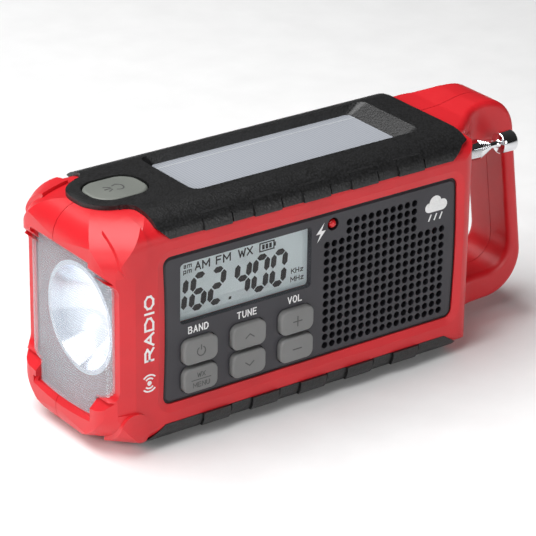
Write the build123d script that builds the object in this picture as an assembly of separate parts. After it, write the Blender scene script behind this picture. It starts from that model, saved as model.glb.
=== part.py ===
from build123d import *
import math
import os

# Hand-crank emergency radio: torch lens on the left end, carrying loop on the right end.
# Millimetres. +X runs from the torch to the loop, +Y to the back, +Z up.
# The origin is under the middle of the whole object, on the surface it stands on.

# ---- casing ----
BODY_LEFT = -81.9
BODY_RIGHT = 46.4
BODY_TOP = 67.9
BODY_BOTTOM = 1.2
BODY_HALF = 23.9          # front and back faces of the red shells
SKIN_TOP = 69.2           # black cover and bumper stand proud of the shells
SKIN_BOTTOM = 0.3
SKIN_HALF = 24.1
SKIN = 1.8                # thickness of the cover and the bumper
RIB_HEIGHT = 0.7
FOOT_R = 4.0
FOOT_HEIGHT = 1.0
FOOT_X = (-60.0, 32.0)
FOOT_Y = (-13.5, 13.5)
WALL = 2.4                # shell wall at the torch end
CAVITY_FRONT = -19.7
CAVITY_BACK = 21.7
CAVITY_TOP = 65.4
CAVITY_BOTTOM = 3.8
ROUND_Y = 10.4            # elliptical rounding of the long edges
ROUND_Z = 6.2
END_BOW = 1.2             # bulge of the torch end
LENS_BOW = 3.0
CORNER_REACH = 47.0       # how far the torch end's corners reach beyond the half width, at 45 degrees
CORNER_ROUND = (17.0, 12.0)
END_CORNER = 8.0
WALL_CORNER = 5.0
SEAM = 2.1                # joint between front and rear shell
SEAM_GAP = 0.2
FIT = 0.3                 # clearance round pieces that move

# ---- carrying loop ----
LOOP_FRONT = -6.8
LOOP_BACK = 12.5
LOOP_WALL = 1.6
LOOP_EDGE = 2.0

# ---- front panel ----
PANEL_X = (-62.5, 38.3)
PANEL_Z = (13.4, 56.7)
PANEL_BOW = 0.7
PANEL_FACE = -23.2
PANEL_BACK = -21.2
PANEL_GAP = 0.6
LCD_X = (-57.3, -12.9)
LCD_Z = (35.9, 54.1)
LCD_CORNER = 1.3
KEY_X = (-51.3, -34.9, -18.4)
KEY_Z = (27.3, 18.7)
KEY_SIZE = (11.5, 7.5)
KEY_CORNER = 2.3
KEY_FACE = -24.8
KEY_WEB = 0.25            # gap between a key and its hole
LED_X, LED_Z = -5.5, 53.3
LED_HOLE = 3.9
LED_DOME = 2.5
GRILLE_X, GRILLE_Z = 13.3, 34.3
GRILLE_PITCH = 2.6
GRILLE_HOLE = 2.1
GRILLE_COLS, GRILLE_ROWS = 17, 15
CLOTH_X = (-9.3, 35.6)
CLOTH_Z = (14.6, 54.0)
CLOTH_BACK = -20.9

# ---- torch ----
LENS_Y = (-14.6, 13.0)
LENS_Z = (10.9, 57.5)
LENS_WRAP_X = -76.9
LENS_WRAP_Z = (17.4, 52.8)
LOBE = 0.8                # height of the pads on the corners of the torch end
TORCH_Y, TORCH_Z = -0.8, 34.3
BOWL_MOUTH_X = -75.4
BOWL_BACK_X = -64.0
BOWL_R = 15.0
BUTTON_X, BUTTON_Y = -61.9, 1.7
BUTTON_SIZE = (17.9, 14.3)
BUTTON_CORNER = 6.0

# ---- solar window ----
SOLAR_TOP = (-45.2, 34.1, -12.2, 15.9)
SOLAR_FLOOR = (-41.5, 28.6, -11.4, 15.1)
SOLAR_Z = 66.2

# ---- aerial ----
AERIAL_Y, AERIAL_Z = -13.3, 58.8
AERIAL_INNER_X = -52.0
AERIAL_OUTER_X = 55.1
AERIAL_RADII = (3.0, 2.6, 2.2, 1.8, 1.4)
AERIAL_WALL = 0.32
AERIAL_STEP = 1.0
ROD_R = 1.0
KNOB_R = 3.2
KNOB_X = (62.7, 67.9)

# ---- crank and generator ----
CRANK_X, CRANK_Z = -28.0, 35.15
CUP_R = 24.9
CUP_WALL = 1.5
CUP_FLANGE = 1.1
CUP_FLOOR = 12.6
CUP_BASE = 10.8
SHAFT_R = 2.5
RUN = 0.05                # radial clearance of a running fit
ARM_Y = (13.0, 23.2)
KNOB_HINGE = 17.0         # distance of the knob's hinge from the crank's axis
KNOB_Y = 19.8
GRIP_R = 3.3
MODULE = 0.6
PRESSURE = 25.0
TEETH_CRANK, TEETH_PINION, TEETH_IDLER, TEETH_DYNAMO = 60, 12, 40, 10
IDLER_ANGLE = 210.0       # direction of the idler from the crank's axis
DYNAMO_ANGLE = 101.0      # direction of the dynamo from the idler
PLATE_Y = (0.0, 1.6)

# ---- battery and sockets ----
CELL_R, CELL_LEN = 9.15, 49.8
CELL_X, CELL_Y, CELL_Z = 28.0, 11.6, 34.7
DOOR_X = (17.6, 38.4)
DOOR_Z = (8.4, 61.0)
DOOR_THICK = 1.8
FLAP_X = (2.2, 13.4)
FLAP_Z = (16.0, 52.0)
FLAP_THICK = 1.6
PORT_BOARD_Y = 12.0


def slab_y(sketch, near, far):
    """Extrude a sketch drawn in X and Z from one Y to another."""
    plane = Plane(origin=(0, far, 0), x_dir=(1, 0, 0), z_dir=(0, -1, 0))
    return extrude(plane * sketch, amount=far - near)


def slab_x(sketch, left, right):
    """Extrude a sketch drawn in Y and Z from one X to another."""
    plane = Plane(origin=(left, 0, 0), x_dir=(0, 1, 0), z_dir=(1, 0, 0))
    return extrude(plane * sketch, amount=right - left)


def slab_z(sketch, low, high):
    """Extrude a sketch drawn in X and Y from one Z to another."""
    return extrude(Plane(origin=(0, 0, low)) * sketch, amount=high - low)


def box(x, y, z):
    """Box between pairs of limits."""
    sizes = [pair[1] - pair[0] for pair in (x, y, z)]
    centre = [sum(pair) / 2 for pair in (x, y, z)]
    return Pos(*centre) * Box(*sizes)


def rounded(a, b, corner):
    """Rounded rectangle between two pairs of limits."""
    return Pos(sum(a) / 2, sum(b) / 2) * RectangleRounded(a[1] - a[0], b[1] - b[0], corner)


def grown(pair, gap):
    return (pair[0] - gap, pair[1] + gap)


def polygon(points, radii):
    """Face inside a closed outline with a radius for each point."""
    return make_face(FilletPolyline(*points, radius=radii, close=True))


def rod_y(x, z, radius, near, far):
    return slab_y(Pos(x, z) * Circle(radius), near, far)


def rod_x(y, z, radius, left, right):
    return slab_x(Pos(y, z) * Circle(radius), left, right)


def rod_z(x, y, radius, low, high):
    return slab_z(Pos(x, y) * Circle(radius), low, high)


# ---- outer form ----

def long_section(half, bottom, top, round_y, round_z):
    """Section across the body: a rectangle with elliptical corners."""
    middle = (bottom + top) / 2
    height = top - bottom
    section = Pos(0, middle) * Rectangle(2 * (half - round_y), height)
    section += Pos(0, middle) * Rectangle(2 * half, height - 2 * round_z)
    for side in (-1, 1):
        for level in (bottom + round_z, top - round_z):
            section += Pos(side * (half - round_y), level) * Ellipse(round_y, round_z)
    return section


def envelope(half, bottom, top, inset, bow=END_BOW):
    """Rounded block of the body, moved inwards by inset on the ends only."""
    left, right = BODY_LEFT + inset, BODY_RIGHT - inset
    side = polygon(
        [(left, bottom), (right, bottom), (right, top), (left, top)],
        [6.0, 8.0, 3.0, 9.0],
    )
    ends = (left + bow, half)
    outline = [
        Line((ends[0], -half), (right, -half)),
        Line((right, -half), (right, half)),
        Line((right, half), ends),
        ThreePointArc(ends, (left, 0), (ends[0], -half)),
    ]
    plan = make_face(outline)
    corners = plan.vertices().sort_by(Axis.X)
    plan = fillet(corners[:2], END_CORNER)
    plan = fillet(plan.vertices().sort_by(Axis.X)[-2:], WALL_CORNER)
    shrink = SKIN_HALF - half
    section = long_section(half, bottom, top, ROUND_Y - shrink, ROUND_Z - min(shrink, 3.8))
    block = slab_y(side, -half, half) & slab_z(plan, bottom, top) & slab_x(section, left, right)
    reach = half + CORNER_REACH
    corner = slab_x(long_section(reach, bottom, top, *CORNER_ROUND), -2 * reach, 2 * reach)
    return block & Rot(0, 0, 45) * corner & Rot(0, 0, -45) * corner


def red_form(inset=0.0):
    return envelope(BODY_HALF - inset, BODY_BOTTOM + inset, BODY_TOP - inset, inset)


def lens_form(inset):
    return envelope(BODY_HALF - inset, BODY_BOTTOM + inset, BODY_TOP - inset, inset, LENS_BOW)


def skin_form(inset=0.0):
    return envelope(SKIN_HALF - inset, SKIN_BOTTOM + inset, SKIN_TOP - inset, inset)


def cover_zone():
    """Space of the top cover, its lip on both faces and its tab round the torch button."""
    plan = polygon(
        [(43.6, -30), (43.6, 30), (-64.4, 30), (-64.4, 13.0), (-75.0, 13.0),
         (-75.0, -9.6), (-64.4, -9.6), (-64.4, -30)],
        [0, 0, 0, 3.5, 9.5, 9.5, 3.5, 0],
    )
    face = Polyline(
        (-61.1, 62.9), (36.7, 62.9), (41.0, 66.3), (50, 69.0), (50, 72), (-80, 72),
        (-80, 66.9), (-65.2, 66.9), close=True,
    )
    return slab_z(plan, 60, 72) & slab_y(make_face(face), -30, 30)


def bumper_zone():
    """Space of the bottom bumper."""
    face = Polyline(
        (-62.6, 7.4), (-69.4, 2.6), (-69.4, -2), (40.8, -2), (40.8, 4.2), (36.0, 7.4), close=True,
    )
    return slab_y(make_face(face), -30, 30)


def rib_blocks(zone, low, high):
    """Five raised blocks along the front lip, each with a groove on its right."""
    blocks = Part()
    grooves = Part()
    for index in range(5):
        middle = -45.6 + 16.7 * index
        blocks += box((middle - 4.55, middle + 4.55), (-30, -16), (low, high))
        grooves += box((middle + 4.55, middle + 5.35), (-30, -22.9), (low - 2, high))
    raised = (skin_form(-RIB_HEIGHT) & blocks & zone) - skin_form(0.2)
    return raised, grooves


def make_top_cover():
    zone = cover_zone()
    cover = (skin_form() - skin_form(SKIN)) & zone
    ribs, grooves = rib_blocks(zone, 62.9, 67.2)
    cover = cover + ribs - grooves
    x0, x1, y0, y1 = SOLAR_TOP
    cover += box((x0 - 2.0, x1 + 2.0), (y0 - 2.0, y1 + 2.0), (SOLAR_Z, SKIN_TOP - SKIN))
    mouth = Plane(origin=(0, 0, SKIN_TOP)) * rounded((x0, x1), (y0, y1), 3.0)
    fx0, fx1, fy0, fy1 = SOLAR_FLOOR
    floor = Plane(origin=(0, 0, SOLAR_Z)) * rounded((fx0, fx1), (fy0, fy1), 1.5)
    cover -= loft([floor, mouth])
    hole = Pos(BUTTON_X, BUTTON_Y) * RectangleRounded(
        BUTTON_SIZE[0] + 2 * FIT, BUTTON_SIZE[1] + 2 * FIT, BUTTON_CORNER + FIT)
    return cover - slab_z(hole, 60, 72)


def make_bottom_bumper():
    zone = bumper_zone()
    bumper = (skin_form() - skin_form(SKIN)) & zone
    ribs, grooves = rib_blocks(zone, 3.2, 7.4)
    return bumper + ribs - grooves - rubber_feet(0.1)


def rubber_feet(gap=0.0):
    """Four round pads let into the underside of the bumper."""
    feet = Part()
    for x in FOOT_X:
        for y in FOOT_Y:
            feet += rod_z(x, y, FOOT_R + gap, 0, FOOT_HEIGHT)
    return feet


# ---- shells ----

def loop_form(inset=0.0):
    """Carrying loop: its side outline and its plan outline crossed."""
    outer = polygon(
        [(38, 3.4 + inset), (81.9 - inset, 5.2 + inset), (73.4 - inset, 69.9 - inset),
         (60, 69.7 - inset), (52, 68.2 - inset), (38, 67.6 - inset)],
        [0, 13 - inset, 12 - inset, 8, 8, 0],
    )
    gap = inset
    window = polygon(
        [(BODY_RIGHT - gap, 13.5 - gap), (76.2 + gap, 13.5 - gap),
         (70.7 + gap, 56.4 + gap), (BODY_RIGHT - gap, 56.4 + gap)],
        [4 + gap, 8 + gap, 7 + gap, 4 + gap],
    )
    plan = polygon(
        [(38, -15 + inset), (48, -15 + inset), (58, LOOP_FRONT + inset), (90, LOOP_FRONT + inset),
         (90, LOOP_BACK - inset), (62, LOOP_BACK - inset), (50, 17 - inset), (38, 17 - inset)],
        [0, 8, 10, 0, 0, 14, 14, 0],
    )
    return slab_y(outer - window, -30, 30) & slab_z(plan, 0, 72)


def rounded_loop():
    """The loop with its long edges rounded for the hand."""
    loop = loop_form()
    faces = [face for face in loop.faces() if abs(face.normal_at(None).Y) > 0.7 and face.center().X > 60]
    edges = ShapeList(edge for face in faces for edge in face.edges())
    edges = edges.filter_by(lambda edge: edge.center().X > 62)
    return fillet(edges, LOOP_EDGE)


def lens_zone(gap=0.0):
    """Cross-shaped region of the lens: a tall band, and a wide one round both corners."""
    tall = slab_x(
        Pos(sum(LENS_Y) / 2, sum(LENS_Z) / 2)
        * Rectangle(LENS_Y[1] - LENS_Y[0] + 2 * gap, LENS_Z[1] - LENS_Z[0] + 2 * gap), -90, -74)
    wide = slab_y(rounded((-100, LENS_WRAP_X + gap), grown(LENS_WRAP_Z, gap), 3.5), -30, 30)
    return tall + wide


def corner_lobes():
    """Raised D-shaped pads on the four corners of the torch end."""
    outline = rounded((-77.0, -68.6), (54.6, 71), 4.0) + rounded((-77.0, -68.6), (-2, 13.6), 4.0)
    pads = slab_y(outline, -30, -15) + slab_y(outline, 15, 30)
    return red_form(-LOBE) & pads


def end_bevels():
    """Slopes from the rim of the torch end down to the lens, above and below."""
    upper = make_face(Polyline(
        (BODY_LEFT - 1, 59.6), (BODY_LEFT + 1.6, LENS_Z[1] - 1.4), (BODY_LEFT - 3, LENS_Z[1] - 1.4),
        close=True))
    lower = make_face(Polyline(
        (BODY_LEFT - 1, 7.0), (BODY_LEFT + 1.6, LENS_Z[0] + 1.2), (BODY_LEFT - 3, LENS_Z[0] + 1.2),
        close=True))
    ends = slab_y(upper + lower, LENS_Y[0], LENS_Y[1] + 1.5)
    low, high = LENS_WRAP_Z
    for level, way in ((high, 1), (low, -1)):
        wedge = Polyline(
            (BODY_LEFT + 3.9, level), (BODY_LEFT - 1, level + 4.9 * way), (BODY_LEFT - 1, level), close=True)
        ends += slab_y(make_face(wedge), -30, 30)
    return ends


def wrap_slope():
    """Shallow slope of the front face down to the lens's edge, between the corner pads."""
    x = LENS_WRAP_X
    plan = Polyline((x - 1, -BODY_HALF + 1.3), (x + 4.7, -BODY_HALF), (x + 4.7, -30), (x - 1, -30), close=True)
    return slab_z(make_face(plan), 13.6, 54.6)


def panel_outline(gap=0.0):
    """Front panel's outline, with both short sides bowed to the right at mid height."""
    x0, x1 = PANEL_X[0] - gap, PANEL_X[1] + gap
    z0, z1 = PANEL_Z[0] - gap, PANEL_Z[1] + gap
    middle = (z0 + z1) / 2
    face = make_face([
        Line((x0, z0), (x1, z0)),
        ThreePointArc((x1, z0), (x1 + PANEL_BOW, middle), (x1, z1)),
        Line((x1, z1), (x0, z1)),
        ThreePointArc((x0, z1), (x0 + PANEL_BOW, middle), (x0, z0)),
    ])
    return fillet(face.vertices(), 2.0 + gap)


def panel_pocket():
    """Pocket of the front panel with a sloping border."""
    pocket = slab_y(panel_outline(PANEL_GAP), PANEL_FACE, PANEL_BACK)
    inner = Plane(origin=(0, PANEL_FACE, 0), x_dir=(1, 0, 0), z_dir=(0, -1, 0))
    outer = Plane(origin=(0, -BODY_HALF - 0.1, 0), x_dir=(1, 0, 0), z_dir=(0, -1, 0))
    border = loft([inner * panel_outline(PANEL_GAP), outer * panel_outline(PANEL_GAP + 2.6)])
    return pocket + border


def front_openings():
    """Openings behind the front panel for display, keys, lamp and loudspeaker."""
    cuts = slab_y(rounded(grown(LCD_X, 0.6), grown(LCD_Z, 0.4), 1.0), PANEL_BACK - 1, -15)
    for x in KEY_X:
        cuts += box((x - 7.4, x + 7.4), (PANEL_BACK - 1, -15), (13.9, 32.1))
    cuts += rod_y(LED_X, LED_Z, 2.2, PANEL_BACK - 1, -15)
    cuts += box(CLOTH_X, (PANEL_BACK - 1, CLOTH_BACK), CLOTH_Z)
    return cuts + rod_y(GRILLE_X, GRILLE_Z, 18.4, PANEL_BACK - 1, -15)


SCREW_SPOTS = ((-73.0, 56.5), (-58.0, 10.8), (12.0, 10.8), (42.2, 11.0), (42.2, 51.0), (66.0, 62.6))


SCREW_R = 1.0
HEAD_R = 2.4


def screw_boss(x, z, near, far):
    return rod_y(x, z, 2.4, near, far)


def hollow():
    """Inside of the casing."""
    main = envelope(CAVITY_BACK, CAVITY_BOTTOM, CAVITY_TOP, WALL)
    main -= box((-90, 90), (-30, CAVITY_FRONT), (-5, 75))
    torch_end = red_form(WALL) & box((-90, -68), (-30, 30), (0, 70))
    return main + torch_end


def casing(cover_blank, bumper_blank):
    """Both shells as one hollow form, before it is split at the seam."""
    form = red_form() - wrap_slope() + rounded_loop() + corner_lobes()
    form -= end_bevels()
    form -= cover_blank + bumper_blank
    form -= lens_zone(0.12) - red_form(WALL + 1.2)
    form -= hollow()
    form -= loop_form(LOOP_WALL) & box((BODY_RIGHT + 1.5, 90), (-30, 30), (0, 72))
    scoop = rod_x(AERIAL_Y, AERIAL_Z, 5.4, BODY_RIGHT, 64)
    guard = rod_x(AERIAL_Y, AERIAL_Z, 7.0, BODY_RIGHT + 1, 66) & loop_form(0.3)
    form += guard & box((BODY_RIGHT, 70), (-14, 30), (50, 69))
    form -= scoop
    form -= rod_x(AERIAL_Y, AERIAL_Z, AERIAL_RADII[0] + 0.2, 40, 50)
    x0, x1, y0, y1 = SOLAR_TOP
    form -= box((x0 - 2.2, x1 + 2.2), (y0 - 2.2, y1 + 2.2), (62, 72))
    flange = Pos(BUTTON_X, BUTTON_Y) * RectangleRounded(20.6, 17.0, 7.0)
    return form - slab_z(flange, 60, 72)


def make_front_shell(form):
    shell = form & box((-100, 100), (-40, SEAM - SEAM_GAP / 2), (-10, 80))
    shell -= panel_pocket()
    shell -= front_openings()
    for x, z in SCREW_SPOTS[:-1]:
        shell += screw_boss(x, z, CAVITY_FRONT - 0.5, SEAM - SEAM_GAP / 2)
    x, z = SCREW_SPOTS[-1]
    shell += screw_boss(x, z, LOOP_FRONT + 1, SEAM - SEAM_GAP / 2)
    for x, z in SCREW_SPOTS:
        shell -= rod_y(x, z, SCREW_R, SEAM - 6, SEAM)
    return shell


def make_rear_shell(form):
    shell = form & box((-100, 100), (SEAM + SEAM_GAP / 2, 40), (-10, 80))
    for x, z in SCREW_SPOTS[:-1]:
        shell += screw_boss(x, z, SEAM + SEAM_GAP / 2, 22.5) + rod_y(x, z, HEAD_R + 0.9, 18.9, 22.5)
        shell -= rod_y(x, z, 1.4, SEAM, 30) + rod_y(x, z, HEAD_R + 0.2, BODY_HALF - 3.0, 30)
    x, z = SCREW_SPOTS[-1]
    shell += screw_boss(x, z, SEAM + SEAM_GAP / 2, LOOP_BACK - 1) + rod_y(x, z, 3.6, 6.2, LOOP_BACK - 1)
    shell -= rod_y(x, z, 1.4, SEAM, LOOP_BACK) + rod_y(x, z, HEAD_R + 0.2, LOOP_BACK - 2.4, LOOP_BACK + 1)
    shell -= rod_y(CRANK_X, CRANK_Z, CUP_R + CUP_WALL, 15, 30)
    shell -= rod_y(CRANK_X, CRANK_Z, CUP_R + CUP_WALL + CUP_FLANGE, BODY_HALF - 1.3, 30)
    shell -= slab_y(rounded(grown(DOOR_X, FIT), grown(DOOR_Z, FIT), 1.5), BODY_HALF - DOOR_THICK, 30)
    shell -= slab_y(rounded(grown(DOOR_X, -0.8), grown(DOOR_Z, -1.0), 1.0), 18, 30)
    shell -= slab_y(rounded(grown(FLAP_X, FIT), grown(FLAP_Z, FIT), 1.5), BODY_HALF - FLAP_THICK, 30)
    return shell - slab_y(rounded(grown(FLAP_X, -1.5), grown(FLAP_Z, -1.5), 1.0), 18, 30)


# ---- front panel and what sits behind it ----

def grille_spots():
    """Centres of the loudspeaker holes; two corners are left plain for the lamp and a badge."""
    spots = []
    for row in range(GRILLE_ROWS):
        for col in range(GRILLE_COLS):
            from_top = GRILLE_ROWS - 1 - row
            from_right = GRILLE_COLS - 1 - col
            if (from_top < 2 and col < 3) or (from_top < 4 and from_right < 4):
                continue
            x = GRILLE_X + (col - (GRILLE_COLS - 1) / 2) * GRILLE_PITCH
            z = GRILLE_Z + (row - (GRILLE_ROWS - 1) / 2) * GRILLE_PITCH
            spots.append((x, z))
    return spots


def make_front_panel():
    face = panel_outline()
    face -= rounded(LCD_X, LCD_Z, LCD_CORNER)
    for x in KEY_X:
        for z in KEY_Z:
            face -= Pos(x, z) * RectangleRounded(
                KEY_SIZE[0] + 2 * KEY_WEB, KEY_SIZE[1] + 2 * KEY_WEB, KEY_CORNER + KEY_WEB)
    face -= Pos(LED_X, LED_Z) * Circle(LED_HOLE / 2)
    face -= Sketch() + [Pos(x, z) * Circle(GRILLE_HOLE / 2) for x, z in grille_spots()]
    panel = slab_y(face, PANEL_FACE, PANEL_BACK)
    rim = panel.edges().filter_by(lambda edge: edge.length > 30 and edge.center().Y < PANEL_FACE + 0.01)
    rim = rim.filter_by(lambda edge: abs(edge.center().Z - 45) > 10 or abs(edge.center().X) > 59)
    return chamfer(rim, 0.45)


def make_panel_seal():
    """Black rubber ring that fills the gap round the front panel."""
    return slab_y(panel_outline(PANEL_GAP) - panel_outline(), PANEL_FACE + 0.5, PANEL_BACK)


def make_grille_cloth():
    """Dust cloth between the grille and the loudspeaker, notched for the charge lamp."""
    cloth = box(CLOTH_X, (PANEL_BACK, CLOTH_BACK), CLOTH_Z)
    return cloth - box((-10, LED_X + 2.4), (-30, 0), (LED_Z - 2.6, 60))


def make_key(x, z):
    """One key: a domed cap, side flanges behind the panel and a stem to its switch."""
    cap = slab_y(Pos(x, z) * RectangleRounded(*KEY_SIZE, KEY_CORNER), KEY_FACE, -20.0)
    rim = cap.faces().sort_by(Axis.Y)[0].edges()
    cap = fillet(rim, 0.6)
    flange = box((x - 6.9, x + 6.9), (PANEL_BACK + FIT, -20.0), (z - 3.0, z + 3.0))
    return cap + flange + rod_y(x, z, 1.6, -20.0, -17.4)


def make_key_switches():
    """Six tact switches on the main board, one behind each key."""
    group = []
    for x in KEY_X:
        for z in KEY_Z:
            case = box((x - 2.6, x + 2.6), (-16.1, -14.6), (z - 2.6, z + 2.6))
            group.append(case + rod_y(x, z, 1.2, -16.3, -16.1))
    return Compound(children=group)


def make_main_board():
    board = box((-59.0, -9.2), (-14.6, -13.0), (13.4, 54.0))
    for z in (16.0, 51.5):
        board += box((-13.5, -10.5), (-13.0, -11.4), (z - 2, z + 2))
    for x, z, size in ((-38.0, 44.5, 5.0), (-22.0, 45.0, 3.5), (-20.0, 25.0, 3.5)):
        board += box((x - size, x + size), (-13.0, -11.6), (z - size, z + size))
    return board


def make_lcd_window():
    return slab_y(rounded(grown(LCD_X, -0.05), grown(LCD_Z, -0.05), LCD_CORNER), PANEL_FACE + 0.25, PANEL_BACK)


def make_lcd_module():
    """Display glass in its frame, standing off the main board."""
    frame = box(grown(LCD_X, 0.2), (PANEL_BACK, -18.6), grown(LCD_Z, -0.1))
    legs = box((LCD_X[0] + 2, LCD_X[1] - 2), (-18.6, -14.6), (LCD_Z[0] + 1, LCD_Z[0] + 3))
    return frame + legs


def make_charge_led():
    dome = Pos(LED_X, -22.4, LED_Z) * Sphere(LED_DOME / 2)
    stem = rod_y(LED_X, LED_Z, LED_DOME / 2, -22.4, -18.5)
    return dome + stem + rod_y(LED_X, LED_Z, 1.6, -20.8, -19.8)


def revolved_y(points, x, z):
    """Turn a profile given as (radius, Y) about an axis along Y."""
    profile = make_face(Polyline(*points, close=True))
    return Pos(x, 0, z) * revolve(profile, Axis.Y)


def make_speaker_frame():
    return revolved_y(
        [(17.6, -19.7), (20.0, -19.7), (20.0, -18.5), (18.6, -18.5), (12.4, -12.6), (12.4, -12.0),
         (6.0, -12.0), (6.0, -13.0), (11.4, -13.0), (17.6, -18.9)], GRILLE_X, GRILLE_Z)


def make_speaker_cone():
    return revolved_y(
        [(0.0, -16.4), (4.0, -15.6), (5.0, -14.0), (16.2, -18.9), (16.9, -19.5), (17.5, -19.2),
         (17.5, -19.0), (16.2, -18.3), (5.2, -13.4), (5.2, -12.2), (4.6, -12.2), (4.6, -14.0),
         (3.8, -15.0), (0.0, -15.8)], GRILLE_X, GRILLE_Z)


def make_speaker_magnet():
    return revolved_y(
        [(0.0, -13.4), (4.0, -13.4), (4.0, -12.0), (5.9, -12.0), (12.0, -12.0), (12.0, -10.8),
         (13.0, -10.8), (13.0, -7.0), (12.0, -7.0), (12.0, -6.0), (0.0, -6.0)], GRILLE_X, GRILLE_Z)


# ---- torch ----

def make_torch_lens():
    pane = (lens_form(1.1) - lens_form(WALL + 1.2)) & lens_zone()
    flange = (red_form(WALL) - red_form(WALL + 1.2)) & lens_zone(1.8) & box((-90, -74), (-30, 30), (0, 70))
    return pane + flange


def make_torch_reflector():
    """Parabolic bowl with a square-cut rim that meets the lens."""
    depth = BOWL_BACK_X - BOWL_MOUTH_X
    inner = [(BOWL_BACK_X - depth * t * t, 3.6 + (BOWL_R - 3.6) * t) for t in (0, 0.25, 0.5, 0.75, 1)]
    outer = [(BOWL_BACK_X - depth * t * t, 5.0 + (BOWL_R - 3.6) * t) for t in (0, 0.25, 0.5, 0.75, 1)]
    outline = [
        Spline(*inner),
        Line(inner[-1], outer[-1]),
        Spline(*reversed(outer)),
        Line(outer[0], inner[0]),
    ]
    bowl = revolve(make_face(outline), Axis.X)
    return Pos(0, TORCH_Y, TORCH_Z) * bowl


def make_torch_led():
    base = rod_x(TORCH_Y, TORCH_Z, 3.4, BOWL_BACK_X - 0.8, BOWL_BACK_X)
    dome = Pos(BOWL_BACK_X - 0.8, TORCH_Y, TORCH_Z) * Sphere(2.4)
    return base + (dome & box((-70, BOWL_BACK_X - 0.4), (-9, 9), (20, 50)))


def make_torch_board():
    board = rod_x(TORCH_Y, TORCH_Z, 7.6, BOWL_BACK_X, BOWL_BACK_X + 1.6)
    return board + rod_x(TORCH_Y, TORCH_Z, 5.6, BOWL_BACK_X + 1.6, BOWL_BACK_X + 2.8)


def make_torch_button():
    top = Pos(BUTTON_X, BUTTON_Y) * RectangleRounded(*BUTTON_SIZE, BUTTON_CORNER)
    cap = slab_z(top, 66.0, SKIN_TOP - 0.1)
    cap = fillet(cap.faces().sort_by(Axis.Z)[-1].edges(), 1.0)
    skirt = Pos(BUTTON_X, BUTTON_Y) * RectangleRounded(19.8, 16.2, 6.8)
    cap += slab_z(skirt, 66.0, SKIN_TOP - SKIN - FIT)
    return cap + rod_z(BUTTON_X, BUTTON_Y, 2.0, 62.2, 66.0)


def make_torch_switch():
    """Push switch on its small board under the torch button."""
    board = box((-69.8, -54.4), (-4.0, 8.0), (56.0, 57.4))
    case = box((BUTTON_X - 3, BUTTON_X + 3), (BUTTON_Y - 3, BUTTON_Y + 3), (57.4, 60.4))
    return board + case + rod_z(BUTTON_X, BUTTON_Y, 1.4, 60.4, 60.8)


# ---- solar panel ----

def make_solar_panel():
    x0, x1, y0, y1 = SOLAR_TOP
    return box((x0 - 0.8, x1 + 0.8), (y0 - 0.8, y1 + 0.8), (SOLAR_Z - 1.4, SOLAR_Z))


# ---- telescopic aerial ----

def aerial_tube(index):
    """One drawn tube of the aerial; each inner one stands out a little further."""
    outer = AERIAL_RADII[index]
    left = AERIAL_INNER_X + 1.2 * index
    right = AERIAL_OUTER_X + AERIAL_STEP * index
    return rod_x(AERIAL_Y, AERIAL_Z, outer, left, right) - rod_x(
        AERIAL_Y, AERIAL_Z, outer - AERIAL_WALL, left, right + 1)


def make_aerial_tip():
    left = AERIAL_INNER_X + 1.2 * len(AERIAL_RADII)
    rod = rod_x(AERIAL_Y, AERIAL_Z, ROD_R, left, KNOB_X[0] + 1)
    knob = rod_x(AERIAL_Y, AERIAL_Z, KNOB_R, *KNOB_X)
    return rod + chamfer(knob.edges().filter_by(GeomType.CIRCLE), 0.35)


def make_aerial_guide():
    """Two clips that hold the outer tube against the front shell."""
    clips = []
    for x in (-49.0, 36.0):
        block = box((x - 3, x + 3), (CAVITY_FRONT, -9.5), (54.9, 62.7))
        clips.append(block - rod_x(AERIAL_Y, AERIAL_Z, AERIAL_RADII[0], x - 4, x + 4))
    return Compound(children=clips)


# ---- gears ----

def involute(angle):
    return math.tan(angle) - angle


def gear_face(teeth, turn):
    """Gear outline with a tooth centred on the direction turn, in degrees."""
    pitch_r = MODULE * teeth / 2
    base_r = pitch_r * math.cos(math.radians(PRESSURE))
    tip_r = pitch_r + 0.82 * MODULE
    root_r = pitch_r - 1.1 * MODULE
    half = math.pi / (2 * teeth) - 0.06 / pitch_r
    points = []
    for tooth in range(teeth):
        middle = math.radians(turn) + 2 * math.pi * tooth / teeth
        flank = []
        for step in range(5):
            radius = max(base_r, root_r) + (tip_r - max(base_r, root_r)) * step / 4
            swing = half + involute(math.radians(PRESSURE)) - involute(math.acos(min(1, base_r / radius)))
            flank.append((radius, swing))
        flank.insert(0, (root_r - 0.01, flank[0][1]))
        points += [(radius, middle - swing) for radius, swing in flank]
        points += [(radius, middle + swing) for radius, swing in reversed(flank)]
    corners = [(radius * math.cos(angle), radius * math.sin(angle)) for radius, angle in points]
    return make_face(Polyline(*corners, close=True))


def polar(origin, distance, angle):
    return (origin[0] + distance * math.cos(math.radians(angle)),
            origin[1] + distance * math.sin(math.radians(angle)))


CRANK = (CRANK_X, CRANK_Z)
IDLER = polar(CRANK, MODULE * (TEETH_CRANK + TEETH_PINION) / 2, IDLER_ANGLE)
DYNAMO = polar(IDLER, MODULE * (TEETH_IDLER + TEETH_DYNAMO) / 2, DYNAMO_ANGLE)


def make_crank_gear():
    gear = slab_y(Pos(*CRANK) * gear_face(TEETH_CRANK, IDLER_ANGLE), 6.4, 9.4)
    windows = Part()
    for index in range(5):
        x, z = polar(CRANK, 11.0, 72 * index + 20)
        windows += rod_y(x, z, 4.0, 6, 10)
    return gear + rod_y(*CRANK, 4.6, 5.4, 10.4) - windows - rod_y(*CRANK, SHAFT_R, 5, 11)


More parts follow.
